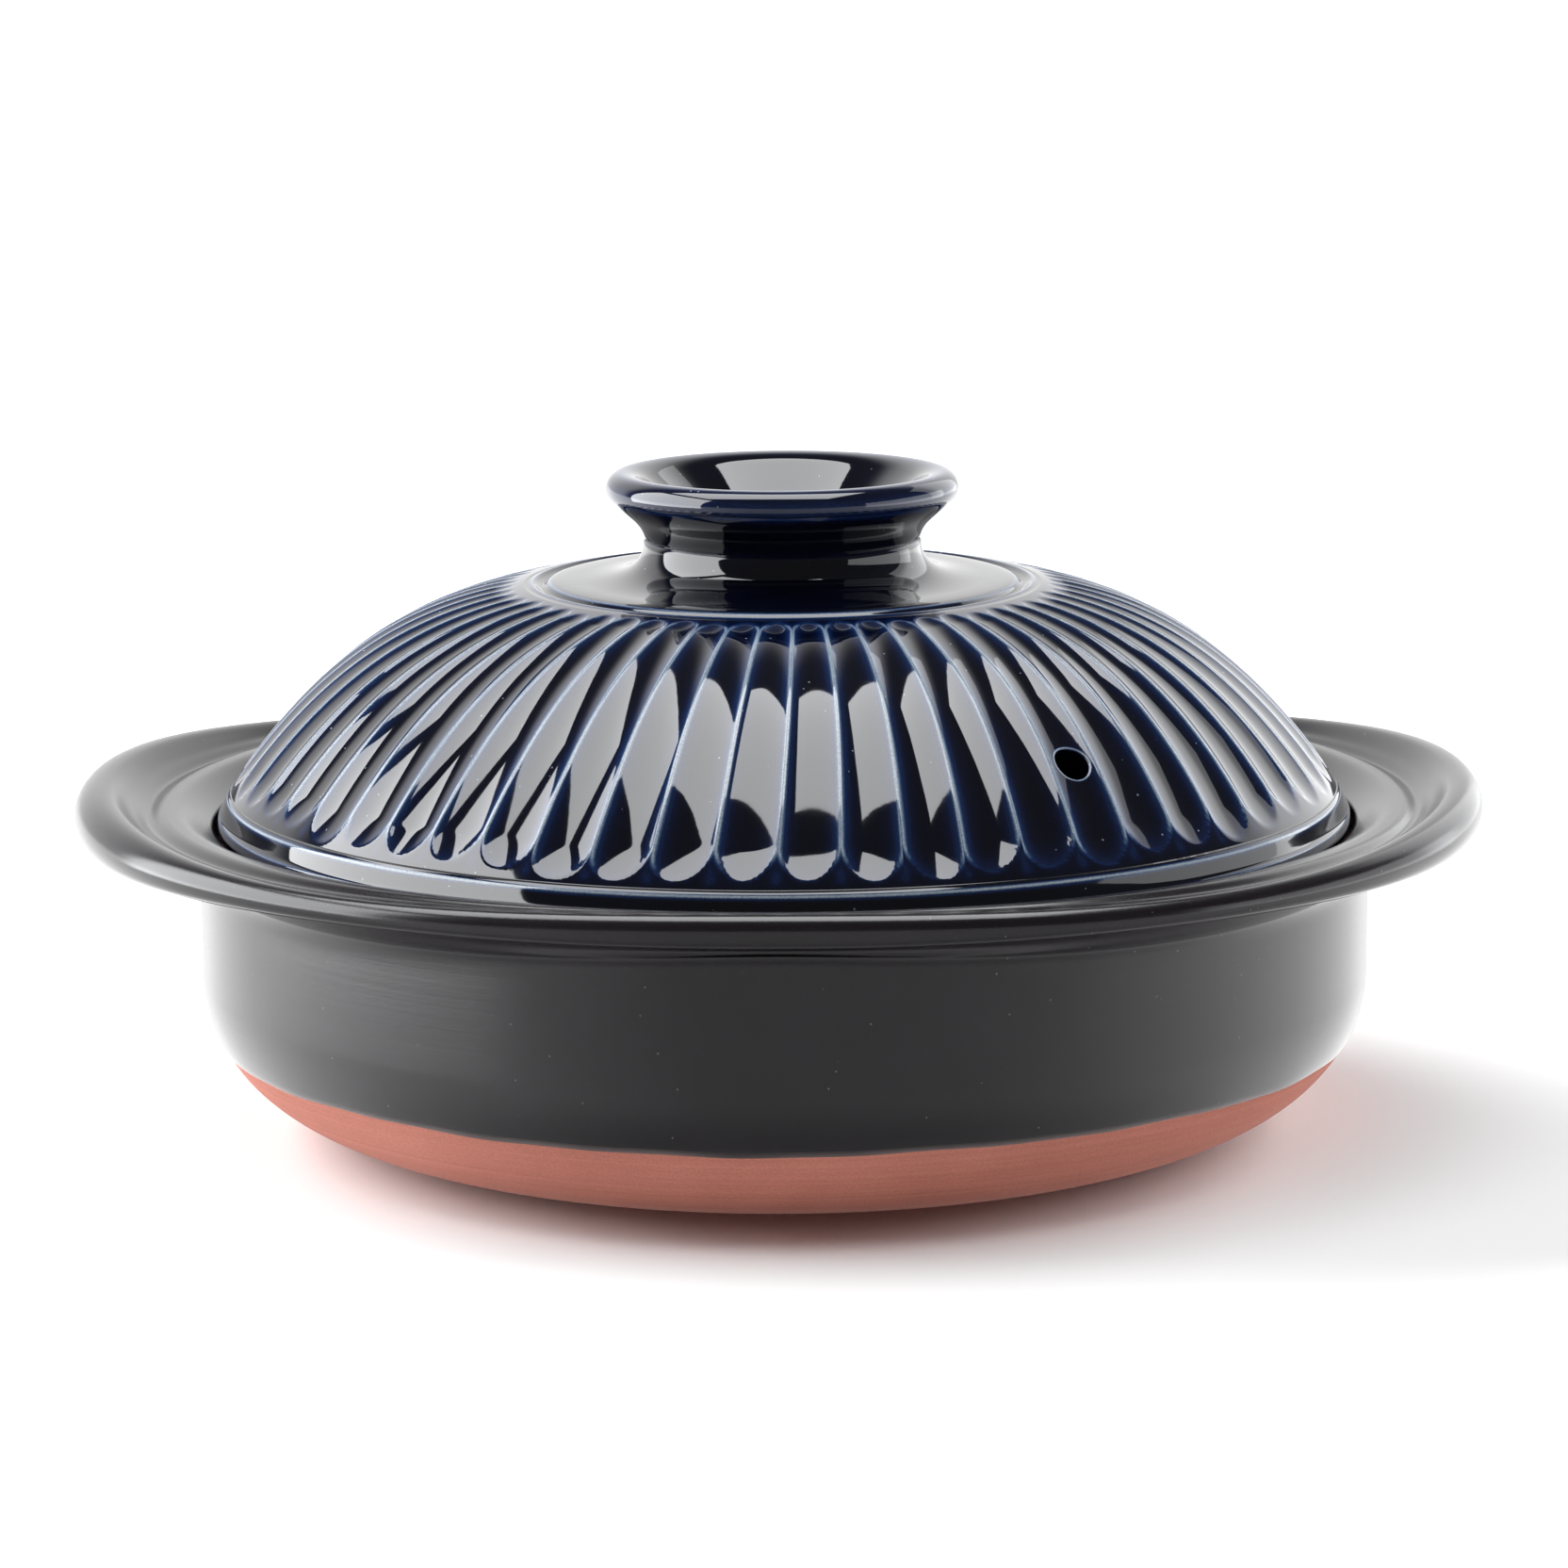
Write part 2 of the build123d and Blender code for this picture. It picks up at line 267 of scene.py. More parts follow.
class Skin:
    """Points, faces and thinning of one piece while it is put together."""

    def __init__(self):
        self.points = []
        self.thin = []
        self.faces = []
        self.looks = []

    def add(self, points, thin=0.0):
        """Takes points as rows of x, y, z and returns their numbers."""
        first = len(self.points)
        points = np.atleast_2d(points)
        self.points.extend(points.tolist())
        self.thin.extend(np.broadcast_to(thin, len(points)).tolist())
        return np.arange(first, first + len(points))

    def ring(self, radius, height, turns, thin=0.0):
        """Closed ring of points round the axis."""
        radius, height = (np.broadcast_to(value, turns.shape) for value in (radius, height))
        return self.add(np.column_stack([radius * np.cos(turns), radius * np.sin(turns), height]), thin)

    def face(self, corners, look):
        """One face, unless two of its corners are the same."""
        corners = list(dict.fromkeys(int(corner) for corner in corners))
        if len(corners) > 2:
            self.faces.append(corners)
            self.looks.append(look)

    def strip(self, loop, other, look=0):
        """Faces between two closed loops with the same number of points. A loop may be one point."""
        count = max(len(loop), len(other))
        loop, other = (np.resize(ring, count) for ring in (loop, other))
        for step in range(count):
            after = (step + 1) % count
            self.face((loop[step], loop[after], other[after], other[step]), look)

    def net(self, loops, open_rows, open_columns, bare_from=None):
        """Strips between loops, left open where these rows and columns cross, and bare from one loop on."""
        for index, (loop, other) in enumerate(zip(loops, loops[1:])):
            look = int(bare_from is not None and index >= bare_from)
            if index not in open_rows:
                self.strip(loop, other, look)
                continue
            for step in range(len(loop)):
                if step not in open_columns:
                    after = (step + 1) % len(loop)
                    self.face((loop[step], loop[after], other[after], other[step]), look)

    def bridge(self, loop, places, other, other_places, look=0):
        """Triangles between two closed loops with their own counts. Places run once round from 0 to 1."""
        first, second = 0, 0
        while first < len(loop) or second < len(other):
            here = places[first + 1] if first + 1 < len(loop) else 1 + places[0]
            there = other_places[second + 1] if second + 1 < len(other) else 1 + other_places[0]
            a, b = loop[first % len(loop)], other[second % len(other)]
            if second >= len(other) or (first < len(loop) and here <= there):
                first += 1
                self.face((a, loop[first % len(loop)], b), look)
            else:
                second += 1
                self.face((a, other[second % len(other)], b), look)

    def build(self, name, materials):
        """The finished piece, with its faces turned outwards."""
        mesh = bpy.data.meshes.new(name)
        mesh.from_pydata((np.array(self.points) * MM).tolist(), [], self.faces)
        mesh.polygons.foreach_set("material_index", self.looks)
        work = bmesh.new()
        work.from_mesh(mesh)
        bmesh.ops.recalc_face_normals(work, faces=work.faces)
        work.to_mesh(mesh)
        work.free()
        mesh.attributes.new("thin", "FLOAT", "POINT").data.foreach_set("value", self.thin)
        mesh.shade_smooth()
        for material in materials:
            mesh.materials.append(material)
        piece = bpy.data.objects.new(name, mesh)
        bpy.context.scene.collection.objects.link(piece)
        return piece


def turned_piece(name, path, thin, columns, material):
    """Piece turned round the axis from a path. A point of the path on the axis closes it there."""
    turns = np.linspace(0, 2 * pi, columns, endpoint=False)
    skin = Skin()
    loops = []
    for (radius, height), value in zip(path, thin):
        if radius == 0:
            loops.append(skin.add([[0, 0, height]], value))
        else:
            loops.append(skin.ring(radius, height, turns, value))
    for loop, other in zip(loops, loops[1:]):
        skin.strip(loop, other)
    if path[0][0] > 0:
        skin.strip(loops[-1], loops[0])
    return skin.build(name, [material])


class Look:
    """A material and its nodes."""

    def __init__(self, name):
        self.material = bpy.data.materials.new(name)
        self.material.use_nodes = True
        self.tree = self.material.node_tree
        self.shader = self.tree.nodes["Principled BSDF"]
        self.place = self.add("ShaderNodeTexCoord").outputs["Object"]

    def add(self, kind, inputs=None, **settings):
        """New node. An input is a value, or the output that feeds it."""
        made = self.tree.nodes.new(kind)
        for key, value in settings.items():
            setattr(made, key, value)
        for key, value in (inputs or {}).items():
            self.feed(made.inputs[key], value)
        return made

    def feed(self, socket, value):
        """Sets a socket, or links it if the value is an output."""
        if isinstance(value, bpy.types.NodeSocket):
            self.tree.links.new(value, socket)
        else:
            socket.default_value = value

    def noise(self, scale, detail=2.0, roughness=0.5, place=None):
        """Noise with this many cells in a metre."""
        inputs = {"Vector": place or self.place, "Scale": scale, "Detail": detail, "Roughness": roughness}
        return self.add("ShaderNodeTexNoise", inputs).outputs["Fac"]

    def stretched(self, scale):
        """Place scaled by its own factor along each axis."""
        return self.add("ShaderNodeMapping", {"Vector": self.place, "Scale": scale}).outputs["Vector"]

    def between(self, value, low, high, start=0.0, end=1.0):
        """Value taken from low to high over to the range from start to end, and held past it."""
        inputs = {"Value": value, "From Min": low, "From Max": high, "To Min": start, "To Max": end}
        return self.add("ShaderNodeMapRange", inputs).outputs["Result"]

    def sum(self, operation, first, second):
        """Two values put together."""
        return self.add("ShaderNodeMath", {0: first, 1: second}, operation=operation).outputs["Value"]

    def colours(self, value, stops):
        """Colour for a value, through stops of (place, colour)."""
        ramp = self.add("ShaderNodeValToRGB", {"Fac": value})
        elements = ramp.color_ramp.elements
        while len(elements) < len(stops):
            elements.new(0.5)
        for element, (place, colour) in zip(elements, stops):
            element.position = place
            element.color = (*colour, 1)
        return ramp.outputs["Color"]

    def mixed(self, share, first, second):
        """Colour between two colours."""
        made = self.add("ShaderNodeMix", data_type="RGBA")
        self.feed(made.inputs[0], share)
        self.feed(made.inputs[6], (*first, 1) if isinstance(first, tuple) else first)
        self.feed(made.inputs[7], (*second, 1) if isinstance(second, tuple) else second)
        return made.outputs[2]

    def bump(self, height, depth, before=None):
        """Relief of this depth in metres for heights from 0 to 1."""
        inputs = {"Height": height, "Distance": depth, "Strength": 1.0}
        if before:
            inputs["Normal"] = before
        return self.add("ShaderNodeBump", inputs).outputs["Normal"]

    def finish(self, **values):
        """Feeds the shader and returns the material."""
        for key, value in values.items():
            self.feed(self.shader.inputs[key.replace("_", " ")], value)
        return self.material


def blue_glaze():
    """Deep blue gloss that runs thin and pale over every edge."""
    look = Look("blue_glaze")
    thin = look.add("ShaderNodeAttribute", attribute_name="thin").outputs["Fac"]
    grain = look.noise(2600, 2.0)
    cloud = look.noise(70, 3.0)
    uneven = look.sum("MULTIPLY", thin, look.between(grain, 0.3, 0.7, 0.86, 1.08))
    uneven = look.sum("ADD", uneven, look.between(cloud, 0.35, 0.75, 0.0, 0.03))
    stops = [
        (0.0, (0.0010, 0.0014, 0.0048)),
        (0.15, (0.0016, 0.0040, 0.019)),
        (0.38, (0.006, 0.020, 0.075)),
        (0.68, (0.075, 0.118, 0.190)),
        (1.0, (0.32, 0.375, 0.44)),
    ]
    colour = look.colours(uneven, stops)
    specks = look.add("ShaderNodeTexVoronoi", {"Vector": look.place, "Scale": 210.0}).outputs["Distance"]
    colour = look.mixed(look.between(specks, 0.055, 0.035), colour, (0.22, 0.26, 0.34))
    polish = look.between(look.noise(45, 3.0), 0.3, 0.7, 0.03, 0.06)
    relief = look.bump(look.noise(60, 2.0), 0.00004)
    relief = look.bump(look.noise(420, 2.0), 0.000003, relief)
    return look.finish(Base_Color=colour, Roughness=polish, Normal=relief, IOR=1.54)


def black_glaze():
    """Charcoal glaze with a satin sheen, faint turning lines and tiny pale specks."""
    look = Look("black_glaze")
    lines = look.noise(1.0, 3.0, place=look.stretched((8, 8, 900)))
    grain = look.noise(3200, 2.0)
    cloud = look.noise(38, 4.0)
    tone = look.between(cloud, 0.3, 0.7)
    colour = look.colours(tone, [(0.0, (0.0052, 0.0040, 0.0056)), (1.0, (0.0090, 0.0070, 0.0094))])
    colour = look.mixed(look.between(grain, 0.62, 0.78, 0.0, 0.5), colour, (0.026, 0.023, 0.025))
    specks = look.add("ShaderNodeTexVoronoi", {"Vector": look.place, "Scale": 260.0}).outputs["Distance"]
    colour = look.mixed(look.between(specks, 0.050, 0.030), colour, (0.17, 0.16, 0.16))
    edge = look.add("ShaderNodeAttribute", attribute_name="thin").outputs["Fac"]
    colour = look.mixed(edge, colour, (0.115, 0.088, 0.086))
    satin = look.between(grain, 0.25, 0.75, 0.17, 0.25)
    relief = look.bump(lines, 0.000018)
    relief = look.bump(grain, 0.000010, relief)
    return look.finish(Base_Color=colour, Roughness=satin, Normal=relief, IOR=1.5)


def bare_clay():
    """Fired red clay with a fine sandy grain and turning lines."""
    look = Look("bare_clay")
    lines = look.noise(1.0, 4.0, place=look.stretched((6, 6, 1300)))
    grain = look.noise(1900, 4.0, 0.65)
    cloud = look.noise(30, 3.0)
    tone = look.sum("ADD", look.sum("MULTIPLY", grain, 0.45), look.sum("MULTIPLY", lines, 0.30))
    tone = look.sum("ADD", tone, look.sum("MULTIPLY", cloud, 0.25))
    stops = [
        (0.30, (0.34, 0.115, 0.080)),
        (0.50, (0.47, 0.165, 0.118)),
        (0.72, (0.58, 0.235, 0.175)),
    ]
    colour = look.colours(tone, stops)
    sand = look.add("ShaderNodeTexVoronoi", {"Vector": look.place, "Scale": 900.0}).outputs["Distance"]
    colour = look.mixed(look.between(sand, 0.16, 0.10, 0.0, 0.5), colour, (0.25, 0.105, 0.08))
    relief = look.bump(lines, 0.00010)
    relief = look.bump(grain, 0.00006, relief)
    return look.finish(Base_Color=colour, Roughness=0.86, Normal=relief, IOR=1.45)


def floor_look():
    """Plain pale floor."""
    look = Look("floor")
    colour = look.mixed(look.noise(6, 3.0), (0.86, 0.86, 0.87), (0.88, 0.88, 0.885))
    return look.finish(Base_Color=colour, Roughness=0.9)


def belly_path(grow, count):
    """Rounded turn from the upright wall of the bowl into its foot, from the top down."""
    radius, low_radius = bowl_radius + grow, foot_radius + grow
    across = (radius - low_radius) * belly_share
    down = (belly_height + grow) * belly_share
    poles = (
        (radius, belly_height),
        (radius, belly_height - down),
        (low_radius + across, -grow),
        (low_radius, -grow),
    )
    return bezier(poles, count)


def bowl_path(inset):
    """Inside of the bowl from the ledge down to the middle of the floor, moved inwards by a coat."""
    radius = bowl_radius - wall_thickness - inset
    ledge_radius = gallery_radius - ledge_width - inset
    ledge_foot = seat_height - ledge_thickness
    floor_height = foot_recess + floor_thickness + inset
    floor_radius = foot_radius - foot_width
    across = (radius - floor_radius) * belly_share
    down = (belly_height - floor_height) * belly_share
    ledge = [
        (ledge_radius, seat_height - 0.8, 0),
        (ledge_radius, ledge_foot, 2.0),
        (radius, ledge_foot - ledge_slope_height, 2.5),
        (radius, belly_height, 0),
    ]
    poles = (
        (radius, belly_height),
        (radius, belly_height - down),
        (floor_radius + across, floor_height),
        (floor_radius, floor_height),
    )
    return joined(rounded(ledge), bezier(poles, 24), [(40, floor_height), (0, floor_height)])


def clay_body(clay):
    """Clay of the bowl with its foot ring, the ledge and the core of the rim."""
    foot_inner = foot_radius - foot_width
    foot = [
        (0, foot_recess, 0),
        (foot_inner - foot_recess, foot_recess, 1.5),
        (foot_inner, 0, foot_rounding),
        (foot_radius, 0, 0),
    ]
    core_top = rim_height - lip_rounding - ear_mouth_drop - 1.0
    core = [
        (bowl_radius, belly_height, 0),
        (bowl_radius, core_top, 0),
        (gallery_radius + glaze_thickness, core_top, 0),
        (gallery_radius + glaze_thickness, seat_height, 0),
        (gallery_radius - ledge_width, seat_height, 0.8),
        (gallery_radius - ledge_width, seat_height - 1.2, 0),
    ]
    outside = joined(rounded(foot), belly_path(0, 30)[::-1], rounded(core))
    path = joined(outside, bowl_path(0))
    return turned_piece("clay_body", path, np.zeros(len(path)), clay_columns, clay)


def glaze_inside(glaze):
    """Glaze on the inside of the bowl, from the ledge to the floor."""
    face = bowl_path(glaze_thickness)
    back = bowl_path(-glaze_sink)
    path = joined(face, back[::-1])
    return turned_piece("glaze_inside", path, np.zeros(len(path)), inside_columns, glaze)


class Rim:
    """Sizes of rim and ears at each turn round the pot.

    The share is 0 on the rim and 1 at the tips of the ears.
    """

    def __init__(self, turns):
        self.turns = turns
        left = np.cos(turns) < 0
        ear_reach = np.where(left, left_ear_reach, right_ear_reach)
        along = (np.abs(np.cos(turns)) / ear_reach) ** edge_power
        across = (np.abs(np.sin(turns)) / rim_reach) ** edge_power
        reach = (along + across) ** (-1 / edge_power)
        self.share = (reach - rim_reach) / (ear_reach - rim_reach)
        self.edge = reach + glaze_thickness
        self.lip = gallery_radius + lip_width + ear_lip_width * self.share
        self.mouth_drop = lip_rounding + ear_mouth_drop * self.share
        self.lift = ear_lift * np.abs(reach * np.cos(turns) / ear_reach) ** ear_lift_power
        self.ear_root = np.where(left, left_ear_root, right_ear_root)
        ear_thickness = np.where(left, left_ear_thickness, right_ear_thickness)
        tip_share = self.share**ear_thickness_power
        thickness = rim_edge_thickness + (ear_thickness - rim_edge_thickness) * tip_share
        half = thickness / 2 + glaze_thickness
        middle = rim_height - rim_edge_drop + self.lift - thickness / 2
        self.under_height = middle - half

        # The rim is rolled over in one round, which parts into a bead along each ear.
        self.bead_start = bead_start + (ear_bead_start - bead_start) * self.share
        self.upper_side = self.passing(rim_roll, half)
        self.upper_rise = self.passing(rim_roll + 0.1, half)
        self.upper_height = self.passing(glazed_top - rim_roll - 0.1, middle)
        self.lower_side = self.passing(rim_under_rounding, half)
        self.lower_height = self.passing(self.under_height + self.lower_side, middle)

    def passing(self, rim, ear):
        """Value that passes from the rim's to the ear's."""
        return rim * (1 - self.share) + ear * self.share

    def places(self, radius, height):
        """Rows of radius and height, one for each turn."""
        same = np.ones_like(self.turns)
        return np.stack([radius * same, height * same], axis=-1)

    def upper_bead(self, angle):
        """Places on the upper part of the rolled edge."""
        radius = self.edge - self.upper_side + self.upper_side * np.cos(angle)
        return self.places(radius, self.upper_height + self.upper_rise * np.sin(angle))

    def lower_bead(self, angle):
        """Places on the lower part of the rolled edge."""
        radius = self.edge - self.lower_side + self.lower_side * np.cos(angle)
        return self.places(radius, self.lower_height + self.lower_side * np.sin(angle))


def mouth_sections(rim):
    """Edge of the gallery's mouth, which falls in more softly at the ears, and the flat crown round it."""
    share = rim.share
    drop = rim.mouth_drop
    edge = gallery_radius - ear_mouth_reach * share
    width = lip_rounding + ear_mouth_width * share + ear_mouth_reach * share
    poles = (
        rim.places(edge, glazed_top - drop),
        rim.places(edge + width * 0.40 * share, glazed_top - drop * (0.45 + 0.07 * share)),
        rim.places(edge + width * (0.45 + 0.25 * share), glazed_top),
        rim.places(edge + width, glazed_top),
    )
    crown = []
    for step in range(2, 5):
        crown.append(rim.places(edge + width + (rim.lip - (edge + width)) * step / 4, glazed_top))
    return [*bezier(poles, 10), *crown]


def top_sections(rim):
    """Top of rim and ears from the lip out to the bead, dished and grooved along the ears."""
    end = rim.upper_bead(rim.bead_start)
    radius, height = end[:, 0], end[:, 1]
    width = radius - rim.lip
    lip_part, bead_part = dish_curve_shares
    poles = (
        rim.places(rim.lip, glazed_top),
        rim.places(rim.lip + width * lip_part, glazed_top),
        rim.places(
            radius - width * bead_part * np.sin(rim.bead_start),
            height + width * bead_part * np.cos(rim.bead_start),
        ),
        end,
    )
    upper = bezier(poles, 30)
    across = np.linspace(0, 1, 30)[:, None]
    groove = np.exp(-(((across - ear_groove_place) / ear_groove_width) ** 2)) * ear_groove_depth
    ridge = np.exp(-(((across - ear_ridge_place) / ear_ridge_width) ** 2)) * ear_ridge_height
    dish = np.sin(pi * across) ** 2 * dish_depth
    upper[..., 1] += (ridge - groove - dish) * rim.share
    return upper[1:]


def bead_sections(rim):
    """Rolled edge of rim and ears, from its top to its underside."""
    upper = [rim.upper_bead(rim.bead_start * (1 - step / 12)) for step in range(1, 13)]
    lower = [rim.lower_bead(-pi / 2 * step / 9) for step in range(1, 10)]
    return upper + lower


def under_sections(rim):
    """Underside of rim and ears, its bend into the wall, and the upright wall."""
    edge_radius = rim.edge - rim.lower_side
    root_radius = (bowl_radius + gallery_radius) / 2
    rim_root = rim_edge_thickness + rim_root_depth
    root_height = rim_height - rim_edge_drop + rim.lift - rim_root - (rim.ear_root - rim_root) * rim.share
    depth = rim.under_height - root_height
    under = edge_radius - root_radius
    slope = depth / under
    bend_height = root_height + (glazed_wall - root_radius) * slope
    bend_size = root_rounding + (ear_root_rounding - root_rounding) * rim.share
    edge_part, root_part = root_curve_shares
    poles = (
        rim.places(edge_radius, rim.under_height),
        rim.places(edge_radius - under * edge_part, rim.under_height),
        rim.places(root_radius + under * root_part, root_height + depth * root_part),
        rim.places(glazed_wall + bend_size, bend_height + bend_size * slope),
    )
    sections = [*bezier(poles, 20)]
    for step in range(1, 7):
        share = step / 6
        across = bend_size * (1 - share) ** 2
        height = bend_height + across * slope - root_drop_share * bend_size * share**2
        sections.append(rim.places(glazed_wall + across, height))
    wall_top = bend_height - root_drop_share * bend_size
    for step in range(1, 9):
        sections.append(rim.places(glazed_wall, wall_top + (belly_height - wall_top) * (step / 9)))
    return sections


def belly_sections(rim):
    """Belly down to the wavering glaze line, the edge of the glaze there, and its back inside the clay."""
    fall = belly_path(glaze_thickness, 200)
    cut = np.searchsorted(-fall[:, 1], -glaze_line_height)
    waves = [share * np.sin(count * rim.turns + start) for count, share, start in glaze_line_waves]
    wobble = glaze_line_wobble * sum(waves)
    sections = []
    for index in np.linspace(0, cut, 16).astype(int):
        share = index / cut
        sections.append(rim.places(fall[index, 0], fall[index, 1] + wobble * share**3))
    end_radius, end_height = fall[cut]
    for inset, drop in ((0.12, 0.22), (0.40, 0.36), (0.80, 0.30)):
        sections.append(rim.places(end_radius - inset, end_height - drop + wobble))
    back_radius = glazed_wall - glaze_sink - 0.4
    back = [
        (end_radius - glaze_sink - 1.0, end_height + 1.0),
        (back_radius, belly_height),
        (back_radius, seat_height + 0.6),
        (gallery_radius + 0.7, seat_height + 0.4),
        (gallery_radius, seat_height + 0.5),
        (gallery_radius, glazed_top - rim.mouth_drop - 1.2),
    ]
    return sections + [rim.places(radius, height) for radius, height in back]


def glaze_outside(glaze):
    """Glaze of rim, ears and outer wall, one closed skin from the gallery to the glaze line."""
    turns = np.linspace(0, 2 * pi, outside_columns, endpoint=False)
    rim = Rim(turns)
    skin = Skin()
    loops = []
    for part in (mouth_sections, top_sections, bead_sections, under_sections, belly_sections):
        for section in part(rim):
            radius, height = section[:, 0], section[:, 1]
            outside = radius > bowl_radius - 12
            edge = np.exp(-(((height - glaze_line_height) / glaze_line_width) ** 2)) * outside
            loops.append(skin.ring(radius, height, turns, glaze_line_share * edge))
    for loop, other in zip(loops, loops[1:] + loops[:1]):
        skin.strip(loop, other)
    return skin.build("glaze_outside", [glaze])


def dome_curve():
    """Outer curve of the dome from ring to crest: lengths along it, points and outward normals."""
    wide = crest_radius - ring_radius
    poles = (
        (ring_radius, ring_height),
        (ring_radius + wide * dome_top_shares[0], ring_height - dome_rise * dome_top_shares[1]),
        (crest_radius - wide * dome_edge_shares[0], crest_height + dome_rise * dome_edge_shares[1]),
        (crest_radius, crest_height),
    )
    points = bezier(poles, 801)
    steps = np.gradient(points, axis=0)
    steps /= np.linalg.norm(steps, axis=1)[:, None]
    normals = np.column_stack([-steps[:, 1], steps[:, 0]])
    lengths = np.concatenate([[0], np.cumsum(np.linalg.norm(np.diff(points, axis=0), axis=1))])
    return lengths, points, normals


dome_lengths, dome_points, dome_normals = dome_curve()
flute_top = np.interp(flute_top_radius, dome_points[:, 0], dome_lengths)
flute_foot = np.interp(crest_radius - flute_foot_gap, dome_points[:, 0], dome_lengths)

# Every flute was cut by hand, so each differs a little from the next.
hand = np.random.default_rng(11)
foot_shift = hand.uniform(-0.9, 0.5, flute_count)
top_shift = hand.uniform(-0.8, 0.8, flute_count)
depth_share = hand.uniform(0.88, 1.10, flute_count)
ridge_shift = hand.uniform(-0.014, 0.014, flute_count)
foot_slant = hand.uniform(-0.22, 0.22, flute_count)
foot_power = hand.uniform(1.2, 2.0, flute_count)


def lean(length):
    """Angle by which the flutes have leant over at a length along the dome, from none at their feet."""
    return flute_twist * (1 - np.clip((length - flute_top) / (flute_foot - flute_top), 0, 1))


def dome_surface(length, turn):
    """Points of the fluted dome and how thin its glaze is there, at lengths along it and turns round it."""
    radius = np.interp(length, dome_lengths, dome_points[:, 0])
    height = np.interp(length, dome_lengths, dome_points[:, 1])
    out = np.interp(length, dome_lengths, dome_normals[:, 0])
    up = np.interp(length, dome_lengths, dome_normals[:, 1])
    place = (turn - lean(length) + pi / 2) / flute_pitch
    number = np.floor(place).astype(int) % flute_count
    share = place - np.floor(place)
    left, right = ridge_shift[number], ridge_shift[(number + 1) % flute_count]
    share = (share - left) / (1 + right - left)
    half_pitch = radius * flute_pitch / 2
    side = (2 * share - 1) * half_pitch
    half_width = half_pitch - flute_ridge
    foot = flute_foot + foot_shift[number]
    top = flute_top + top_shift[number]
    foot = foot + foot_slant[number] * side
    past_foot = np.clip((length - (foot - flute_foot_length)) / flute_foot_length, 0, None)
    past_top = np.clip(((top + flute_top_length) - length) / flute_top_length, 0, None)
    end = np.maximum(past_foot, past_top)
    reach = (np.abs(side) / half_width) ** flute_roundness + end ** foot_power[number]
    reach = reach ** (1 / flute_roundness)
    gap = (reach - 1) * half_width
    along = smooth_step((length - flute_top) / flute_rise_length)
    depth = (flute_top_depth + (flute_depth - flute_top_depth) * along) * depth_share[number]
    hollow = np.clip(1 - reach**2, 0, None) * smooth_step((1 - reach) / 0.10 + 0.25)
    depth = depth * hollow

    # The glaze runs thin along the ridges, thins again in pads between the feet, and pools elsewhere.
    scale = 0.55 + 0.45 * radius / crest_radius
    width = np.where(gap < 0, line_width_inside, line_width_outside) * scale
    sharp = np.exp(-((gap / width) ** 2))
    wide = np.exp(-((gap / (halo_width * scale)) ** 2))
    at_foot = smooth_step((past_foot - 0.10) / 0.75)
    at_top = smooth_step((past_top - 0.55) / 0.35)
    thin = line_share * sharp * (1 - 0.88 * at_foot) * (1 - 0.75 * at_top)
    thin += halo_share * wide * (1 - 0.35 * at_top) * (1 - np.where(gap > 0, 0.90, 0.35) * at_foot)
    thin *= 0.80 + 0.20 * smooth_step((length - top) / 14)
    pad = pad_share * at_foot * smooth_step(1 - (half_pitch - np.abs(side)) / (0.45 * half_pitch))
    pad *= smooth_step(gap / 0.8) * (1 - smooth_step((length - flute_foot + 0.8) / 2.4))
    thin = np.maximum(thin, pad)
    radius, height = radius - out * depth, height - up * depth
    return np.stack([radius * np.cos(turn), radius * np.sin(turn), height], axis=-1), thin


